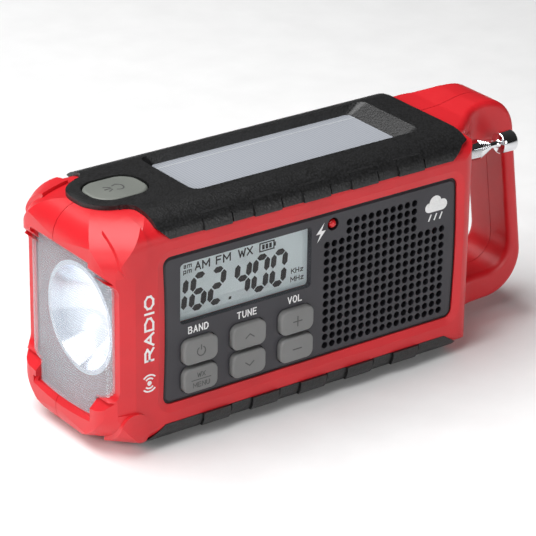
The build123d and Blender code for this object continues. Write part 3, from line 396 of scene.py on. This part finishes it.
def arc(cu, cv, radius, start, end, width, steps=14):
    """Outlines of a curved stroke, as short quadrilaterals."""
    quads = []
    inner, outer = radius - width / 2, radius + width / 2
    for i in range(steps):
        a = math.radians(start + (end - start) * i / steps)
        b = math.radians(start + (end - start) * (i + 1) / steps)
        quads.append([
            (cu + inner * math.cos(a), cv + inner * math.sin(a)),
            (cu + outer * math.cos(a), cv + outer * math.sin(a)),
            (cu + outer * math.cos(b), cv + outer * math.sin(b)),
            (cu + inner * math.cos(b), cv + inner * math.sin(b)),
        ])
    return quads


def disc(cu, cv, radius, steps=24):
    turns = [math.tau * i / steps for i in range(steps)]
    return [(cu + radius * math.cos(t), cv + radius * math.sin(t)) for t in turns]


def centre(node):
    low, high = limits(node)
    return (low + high) / 2


# ---------------------------------------------------------------- display

def seven_segment(cx, base, height, width, stroke, lit, slant):
    """Outlines of the lit segments of one figure, with pointed ends."""
    middle = height / 2
    half = stroke / 2
    gap = stroke * 0.16
    left, right = -width / 2 + half, width / 2 - half
    ends = {
        "a": ((left, height - half), (right, height - half)),
        "g": ((left, middle), (right, middle)),
        "d": ((left, half), (right, half)),
        "f": ((left, middle), (left, height - half)),
        "b": ((right, middle), (right, height - half)),
        "e": ((left, half), (left, middle)),
        "c": ((right, half), (right, middle)),
    }
    outlines = []
    for segment in lit:
        (ax, ay), (bx, by) = ends[segment]
        length = math.hypot(bx - ax, by - ay)
        dx, dy = (bx - ax) / length, (by - ay) / length
        nx, ny = -dy * half, dx * half
        p0 = (ax + dx * gap, ay + dy * gap)
        p1 = (bx - dx * gap, by - dy * gap)
        shape = [
            p0,
            (p0[0] + dx * half - nx, p0[1] + dy * half - ny),
            (p1[0] - dx * half - nx, p1[1] - dy * half - ny),
            p1,
            (p1[0] - dx * half + nx, p1[1] - dy * half + ny),
            (p0[0] + dx * half + nx, p0[1] + dy * half + ny),
        ]
        outlines.append([(cx + x + (y - middle) * slant, base + y) for x, y in shape])
    return outlines


SEGMENTS = {"0": "abcdef", "1": "bc", "2": "abged", "4": "fgbc", "6": "afgedc"}


def build_display():
    low, high = limits("lcd_window")
    face = Surface((low.x, limits("lcd_module")[0].y, low.z), (1, 0, 0), (0, 0, 1))
    width, height = high.x - low.x, high.z - low.z
    digits = []
    for figure, share in (("1", 0.020), ("6", 0.166), ("2", 0.305), ("4", 0.500), ("0", 0.638), ("0", 0.778)):
        digits += seven_segment(width * share, height * 0.11, height * 0.62, width * 0.128,
                                height * 0.098, SEGMENTS[figure], 0.10)
    digits.append([(width * 0.394, height * 0.13), (width * 0.412, height * 0.13),
                   (width * 0.416, height * 0.175), (width * 0.398, height * 0.175)])
    shapes("display_figures", face, digits, 0.05, INK_BLACK, "root")
    top = height * 0.845
    for name, text, share, level, size, weight in (
        ("display_am", "am", 0.083, top + 0.85, 1.15, 0.17),
        ("display_pm", "pm", 0.083, top - 0.75, 1.15, 0.17),
        ("display_band_am", "AM", 0.195, top, 2.1, 0.19),
        ("display_band_fm", "FM", 0.352, top, 2.1, 0.19),
        ("display_band_wx", "WX", 0.520, top, 2.1, 0.19),
        ("display_khz", "KHz", 0.925, height * 0.295, 1.35, 0.17),
        ("display_mhz", "MHz", 0.925, height * 0.155, 1.35, 0.17),
    ):
        lettering(name, text, face, width * share, level, size, 0.78, weight, INK_BLACK, "root")
    u, v = width * 0.630, top - 1.2
    battery = [bar((u, v), (u + 4.8, v), 0.35), bar((u, v + 2.4), (u + 4.8, v + 2.4), 0.35),
               bar((u, v - 0.17), (u, v + 2.57), 0.35), bar((u + 4.8, v - 0.17), (u + 4.8, v + 2.57), 0.35),
               bar((u + 5.2, v + 0.6), (u + 5.2, v + 1.8), 0.5)]
    battery += [bar((u + 1.2 + 1.2 * i, v + 0.5), (u + 1.2 + 1.2 * i, v + 1.9), 0.8) for i in range(3)]
    shapes("display_battery", face, battery, 0.05, INK_BLACK, "root")


def build_panel_print():
    low, high = limits("front_panel")
    face = Surface((0, low.y, 0), (1, 0, 0), (0, 0, 1))
    window_low = limits("lcd_window")[0]
    columns = (("band", "BAND", "power_button"), ("tune", "TUNE", "tune_up_button"),
               ("volume", "VOL", "volume_up_button"))
    for name, word, key in columns:
        key_top = limits(key)[1].z
        level = (key_top + window_low.z) / 2 + 0.1
        lettering("label_" + name, word, face, centre(key).x, level, 1.85, 0.62, 0.17, INK_WHITE, "root")
    lamp = centre("charge_led")
    bolt = [(1.1, 2.8), (-1.7, -0.3), (-0.15, -0.3), (-1.3, -2.8), (1.6, 0.5), (0.1, 0.5)]
    u, v = lamp.x - 4.2, lamp.z - 1.7
    shapes("bolt_mark", face, [[(u + a, v + b) for a, b in bolt]], 0.04, INK_WHITE, "root")
    build_weather_badge(face, high.x - 7.2, high.z - 7.0)


def build_weather_badge(face, u, v):
    """Plain cloud with rain strokes: a generic sign for weather broadcasts."""
    cloud = []
    for cu, cv, radius in ((-2.6, 0.0, 1.5), (-0.4, 1.2, 2.2), (2.2, 0.2, 1.7)):
        cloud.append(disc(u + cu, v + cv, radius))
    cloud.append([(u - 2.6, v - 1.5), (u + 2.2, v - 1.5), (u + 2.2, v + 1.6), (u - 2.6, v + 1.4)])
    shapes("weather_cloud", face, cloud, 0.04, INK_WHITE, "root")
    rain = [bar((u + a, v - 2.2), (u + a - 0.9, v - 4.2), 0.45) for a in (-1.8, 0.2, 2.2)]
    shapes("weather_rain", face, rain, 0.04, INK_WHITE, "root")


def build_key_marks():
    for node in KEYS:
        middle = centre(node)
        face = Surface((middle.x, limits(node)[0].y, middle.z), (1, 0, 0), (0, 0, 1))
        marks = {
            "power_button": arc(0, -0.1, 1.35, 120, 420, 0.34, 20) + [bar((0, 0.3), (0, 1.9), 0.34)],
            "tune_up_button": [bar((-1.5, -0.6), (0.1, 0.65), 0.34), bar((-0.1, 0.65), (1.5, -0.6), 0.34)],
            "tune_down_button": [bar((-1.5, 0.6), (0.1, -0.65), 0.34), bar((-0.1, -0.65), (1.5, 0.6), 0.34)],
            "volume_up_button": [bar((-1.6, 0), (1.6, 0), 0.36), bar((0, -1.6), (0, 1.6), 0.36)],
            "volume_down_button": [bar((-1.6, 0), (1.6, 0), 0.36)],
        }
        body = node.replace("_button", "_key")
        if node in marks:
            shapes("mark_" + node, face, marks[node], 0.03, INK_GREY, body)
        else:
            lettering("mark_wx", "WX", face, 0, 1.45, 1.35, 0.7, 0.14, INK_GREY, body)
            lettering("mark_menu", "MENU", face, 0, -1.55, 1.35, 0.7, 0.14, INK_GREY, body)
            shapes("mark_rule", face, [bar((-3.3, 0), (3.3, 0), 0.25)], 0.03, INK_GREY, body)


def build_torch_mark():
    """Small sign of a lamp with rays on the torch button."""
    middle = centre("torch_button")
    face = Surface((middle.x, middle.y, limits("torch_button")[1].z), (1, 0, 0), (0, 1, 0))
    marks = arc(0.6, 0.0, 1.9, -75, 75, 0.4, 12) + [bar((1.0, -1.85), (-0.2, -1.3), 0.4),
                                                  bar((1.0, 1.85), (-0.2, 1.3), 0.4)]
    for angle in (150, 180, 210):
        a = math.radians(angle)
        marks.append(bar((1.2 * math.cos(a), 1.2 * math.sin(a)), (3.4 * math.cos(a), 3.4 * math.sin(a)), 0.36))
    shapes("torch_mark", face, marks, 0.03, INK_GREY, "torch_key")


def build_side_mark():
    """Plain word and wave sign up the red border, left of the panel."""
    face = Surface((-67.9, -23.9, 0), (0, 0, 1), (-1, 0, 0))
    lettering("side_word", "RADIO", face, 38.0, 0, 2.6, 1.35, 0.24, INK_WHITE, "root")
    waves = arc(21.6, 0, 0.35, 0, 360, 0.7, 14)
    for radius in (1.5, 2.5):
        waves += arc(21.6, 0, radius, -48, 48, 0.45, 10)
        waves += arc(21.6, 0, radius, 132, 228, 0.45, 10)
    shapes("side_waves", face, waves, 0.04, INK_WHITE, "root")


def build_solar_lines():
    """Collector bars of the solar panel."""
    low, high = limits("solar_panel")
    face = Surface((0, 0, high.z), (1, 0, 0), (0, 1, 0))
    middle = (low.y + high.y) / 2
    across = [bar((low.x + 3, middle + offset), (high.x - 3, middle + offset), 0.35) for offset in (-9.6, 10.2)]
    shapes("solar_bars", face, across, 0.03, printed("collector_ink", (0.46, 0.48, 0.50)), "root")


# ---------------------------------------------------------------- torch lens and aerial

LENS_HALF = 22.8
LENS_BOW = 3.0
LENS_CORNER = 8.0
LENS_THICK = 1.6
RIB_PITCH = 0.8
RIB_DEPTH = 0.28


def lens_plan(left, wrap_x):
    """Points and outward directions of the lens's plan, from the rear edge round to the front."""
    radius = (LENS_HALF ** 2 + LENS_BOW ** 2) / (2 * LENS_BOW)
    middle = left + radius
    turn = math.asin((LENS_HALF - LENS_CORNER) / (radius - LENS_CORNER))
    corner = middle - (radius - LENS_CORNER) * math.cos(turn)
    stop = math.acos((corner - wrap_x) / LENS_CORNER)
    bend = [turn + (stop - turn) * i / 16 for i in range(16, 0, -1)]
    flat = [turn * (1 - i / 20) for i in range(20)]
    side = [(corner, LENS_HALF - LENS_CORNER, LENS_CORNER, a) for a in bend] + [(middle, 0, radius, a) for a in flat]
    points = []
    for x, y, r, a in side:
        points.append(((x - r * math.cos(a), y + r * math.sin(a)), (-math.cos(a), math.sin(a))))
    mirrored = [((x, -y), (nx, -ny)) for (x, y), (nx, ny) in reversed(points)]
    return points + [((left, 0.0), (-1.0, 0.0))] + mirrored


def build_lens():
    """Clear lens with moulded ribs across it, wrapped round both corners."""
    low, high = limits("torch_lens")
    flange = 1.8
    tall = (low.z + flange, high.z - flange)
    wide = (low.z + flange + 6.5, high.z - flange - 4.7)
    band = (-14.6, 13.0)
    plan = lens_plan(low.x, -76.9)
    steps = round((tall[1] - tall[0]) / RIB_PITCH) * 4
    levels = [tall[0] + (tall[1] - tall[0]) * i / steps for i in range(steps + 1)]
    wave = (0.0, 0.55, 1.0, 0.55)
    vertices = []
    for (x, y), (nx, ny) in plan:
        for row, z in enumerate(levels):
            sink = RIB_DEPTH * wave[row % 4]
            vertices.append((x - nx * sink, y - ny * sink, z))
    outer = len(vertices)
    for (x, y), (nx, ny) in plan:
        vertices += [(x - nx * LENS_THICK, y - ny * LENS_THICK, z) for z in levels]
    count = len(levels)
    kept = set()
    for column in range(len(plan) - 1):
        y = (plan[column][0][1] + plan[column + 1][0][1]) / 2
        span = tall if band[0] < y < band[1] else wide
        edge = min(column, len(plan) - 2 - column)
        trim = max(0.0, 2.2 - 0.6 * edge)
        for row in range(count - 1):
            z = (levels[row] + levels[row + 1]) / 2
            if span[0] + trim < z < span[1] - trim:
                kept.add((column, row))
    faces = []
    for column, row in sorted(kept):
        a, b = column * count + row, (column + 1) * count + row
        faces.append((a, a + 1, b + 1, b))
        faces.append((outer + a, outer + b, outer + b + 1, outer + a + 1))
        for (dc, dr), (p, q) in (((-1, 0), (a, a + 1)), ((1, 0), (b + 1, b)), ((0, -1), (b, a)), ((0, 1), (a + 1, b + 1))):
            if (column + dc, row + dr) not in kept:
                faces.append((p, outer + p, outer + q, q))
    lens = piece("ribbed_lens", vertices, faces, LENS, "root")
    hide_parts("torch_lens")


def lathe(name, profile, y, z, node, body, material, steps=48):
    """Turned piece about an axis along X that stands for a CAD node."""
    vertices = []
    for x, r in profile:
        vertices += [(x, y + r * math.cos(math.tau * i / steps), z + r * math.sin(math.tau * i / steps))
                     for i in range(steps)]
    faces = []
    for ring in range(len(profile) - 1):
        for i in range(steps):
            j = (i + 1) % steps
            a, b = ring * steps, (ring + 1) * steps
            faces.append((a + i, b + i, b + j, a + j))
    faces.append(list(range(steps)))
    faces.append([(len(profile) - 1) * steps + i for i in reversed(range(steps))])
    made = piece(name, vertices, faces, material, body)
    made.data.shade_smooth()
    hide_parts(node)


def build_aerial():
    """Telescopic tubes with a rolled collar at each mouth, and the end knob."""
    bodies = ["root"] + ["aerial_%d" % i for i in range(1, 5)]
    nodes = ["aerial_tube"] + ["aerial_stage_%d" % i for i in range(1, 5)]
    for node, body in zip(nodes, bodies):
        low, high = limits(node)
        y, z = (low.y + high.y) / 2, (low.z + high.z) / 2
        r, end = (high.y - low.y) / 2, high.x
        profile = [(low.x, r - 0.3), (low.x, r), (end - 0.95, r), (end - 0.8, r - 0.22), (end - 0.65, r - 0.22),
                   (end - 0.5, r), (end - 0.2, r), (end, r - 0.2), (end, r - 0.3)]
        lathe("drawn_" + node, profile, y, z, node, body, CHROME)
    low, high = limits("aerial_tip")
    y, z = (low.y + high.y) / 2, (low.z + high.z) / 2
    r, rod, length = (high.y - low.y) / 2, 1.0, 5.2
    knob = high.x - length
    profile = [(low.x, 0.4), (low.x, rod), (knob - 1.2, rod), (knob - 0.3, rod + 0.2), (knob, rod + 0.6),
               (knob, r - 0.4), (knob + 0.12, r - 0.12), (knob + 0.4, r), (high.x - 0.4, r),
               (high.x - 0.12, r - 0.12), (high.x, r - 0.4), (high.x, 0.4)]
    lathe("turned_aerial_tip", profile, y, z, "aerial_tip", "aerial_end", CHROME)


# ---------------------------------------------------------------- studio

def build_camera():
    """Camera at the front left, a little above, on a long lens."""
    azimuth, elevation, roll = math.radians(-36.312), math.radians(24.625), math.radians(0.863)
    target = point(-13.5, -3.6, 34.4)
    distance = 0.809
    back = Vector((math.sin(azimuth) * math.cos(elevation), -math.cos(azimuth) * math.cos(elevation),
                   math.sin(elevation)))
    right = Vector((0, 0, 1)).cross(back).normalized()
    up = back.cross(right)
    across = right * math.cos(roll) + up * math.sin(roll)
    upright = up * math.cos(roll) - right * math.sin(roll)
    data = bpy.data.cameras.new("camera")
    data.lens = 189.95
    data.sensor_width = 36.0
    data.clip_start = 0.01
    camera = bpy.data.objects.new("camera", data)
    bpy.context.scene.collection.objects.link(camera)
    axes = Matrix((across, upright, back)).transposed()
    camera.matrix_world = Matrix.Translation(target + back * distance) @ axes.to_4x4()
    bpy.context.scene.camera = camera


def softbox(name, place, target, size, power):
    data = bpy.data.lights.new(name, "AREA")
    data.shape = "RECTANGLE"
    data.size, data.size_y = size
    data.energy = power
    lamp = bpy.data.objects.new(name, data)
    bpy.context.scene.collection.objects.link(lamp)
    lamp.location = place
    lamp.rotation_euler = (Vector(target) - Vector(place)).to_track_quat("-Z", "Y").to_euler()


SKY_FRONT, SKY_BACK = 0.25, 1.3


def build_studio():
    low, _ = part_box("bottom_bumper")
    reach = 3.0
    corners = [(-reach, -reach), (reach, -reach), (reach, reach), (-reach, reach)]
    mesh = bpy.data.meshes.new("floor")
    mesh.from_pydata([(x, y, low.z - 0.0002) for x, y in corners], [], [(0, 1, 2, 3)])
    mesh.materials.append(FLOOR)
    floor = bpy.data.objects.new("floor", mesh)
    bpy.context.scene.collection.objects.link(floor)
    world = bpy.data.worlds.new("studio")
    bpy.context.scene.world = world
    bpy.context.scene.view_settings.view_transform = "Standard"
    world.use_nodes = True
    tree = world.node_tree
    way = tree.nodes.new("ShaderNodeSeparateXYZ")
    tree.links.new(tree.nodes.new("ShaderNodeTexCoord").outputs["Generated"], way.inputs["Vector"])
    fade = tree.nodes.new("ShaderNodeMapRange")
    fade.inputs["To Min"].default_value = SKY_FRONT
    fade.inputs["To Max"].default_value = SKY_BACK
    fade.inputs["From Min"].default_value = -1.0
    tree.links.new(way.outputs["Y"], fade.inputs["Value"])
    tree.links.new(fade.outputs["Result"], tree.nodes["Background"].inputs["Strength"])
    softbox("top_light", (-0.25, 0.15, 0.75), (0, 0, 0.03), (0.9, 0.6), 9.0)
    softbox("left_light", (-0.85, -0.15, 0.45), (-0.04, 0, 0.03), (0.4, 0.4), 4.0)
    softbox("front_light", (0.10, -0.95, 0.35), (0, 0, 0.03), (0.6, 0.4), 3.2)


build_camera()
build_studio()
build_display()
build_panel_print()
build_key_marks()
build_torch_mark()
build_side_mark()
build_solar_lines()
build_lens()
build_aerial()
